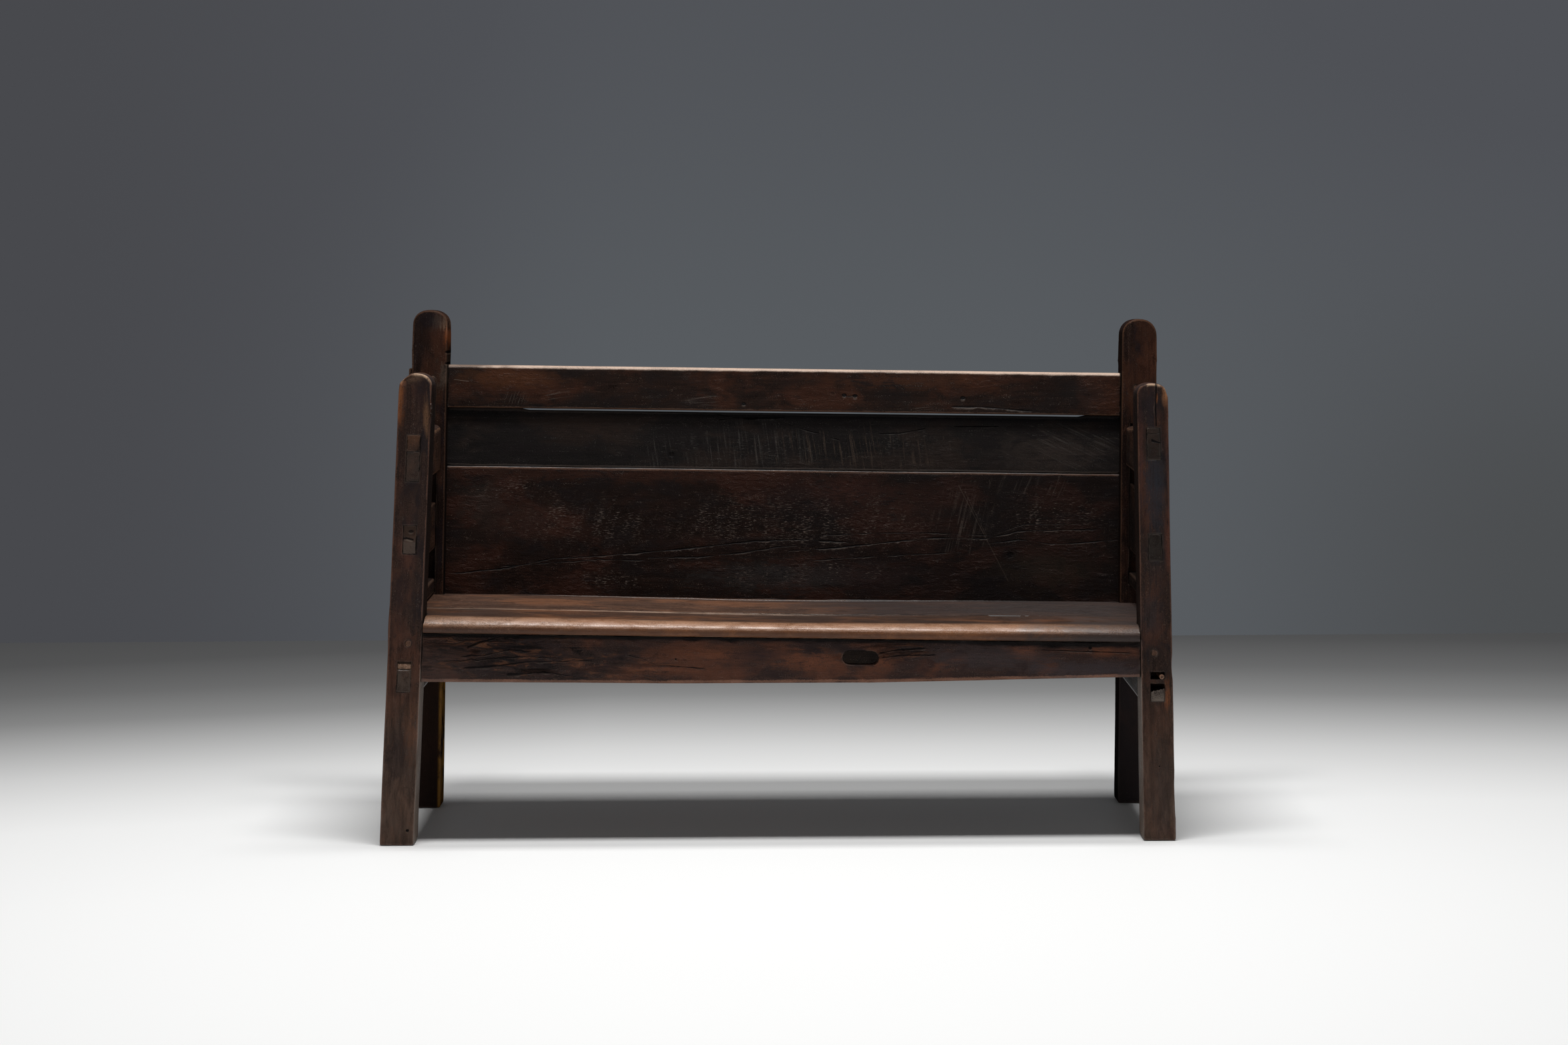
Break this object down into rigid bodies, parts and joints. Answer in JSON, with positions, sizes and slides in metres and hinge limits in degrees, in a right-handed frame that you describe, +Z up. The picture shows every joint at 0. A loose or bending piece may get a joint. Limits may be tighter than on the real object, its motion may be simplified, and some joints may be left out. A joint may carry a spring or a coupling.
{
  "type": "bench",
  "caption": "Long wooden bench with a boarded back, open arms, a thick plank seat with a rounded nose, a bowed front apron with a small slot, and splayed legs.",
  "frame": {"origin": "centre of the bench's box, on the floor under its feet", "axes": "+X to the right along the bench as seen from its front, +Y from the front to the back, +Z up"},
  "size_m": [1.6494, 0.5812, 1.0851],
  "materials": {
    "front_post": "worn, waxed dark brown, satin",
    "rear_post": "dark brown, satin",
    "arm_rail": "dark brown, hand-worn",
    "side_rail": "dark brown, dull",
    "back_top_rail": "brown, polished on its top edge",
    "back_middle_board": "near black, dull, scraped",
    "back_lower_board": "very dark reddish brown, satin",
    "apron": "reddish brown, cracked, dull",
    "seat_front_board": "mid brown, polished by wear",
    "seat_rear_board": "mid brown, satin",
    "hidden_rail": "dark brown, dull",
    "peg": "end grain, dull",
    "wedge": "end grain, dull"
  },
  "bodies": {
    "root": {"apron_peg_left": "peg", "apron_peg_right": "peg", "arm_rail_left": "arm_rail", "arm_rail_right": "arm_rail", "arm_wedge_left": "wedge", "back_lower_board": "back_lower_board", "back_middle_board": "back_middle_board", "back_rail_peg_left": "peg", "back_rail_peg_right": "peg", "back_top_rail": "back_top_rail", "front_apron": "apron", "front_post_left": "front_post", "front_post_right": "front_post", "low_side_rail_left": "side_rail", "low_side_rail_right": "side_rail", "mid_side_rail_left": "side_rail", "mid_side_rail_right": "side_rail", "rear_post_left": "rear_post", "rear_post_right": "rear_post", "rear_seat_rail": "hidden_rail", "seat_front_board": "seat_front_board", "seat_rear_board": "seat_rear_board", "seat_side_rail_left": "side_rail", "seat_side_rail_right": "side_rail", "seat_wedge_left": "wedge", "tenon_key_right": "peg"}
  },
  "joints": []
}
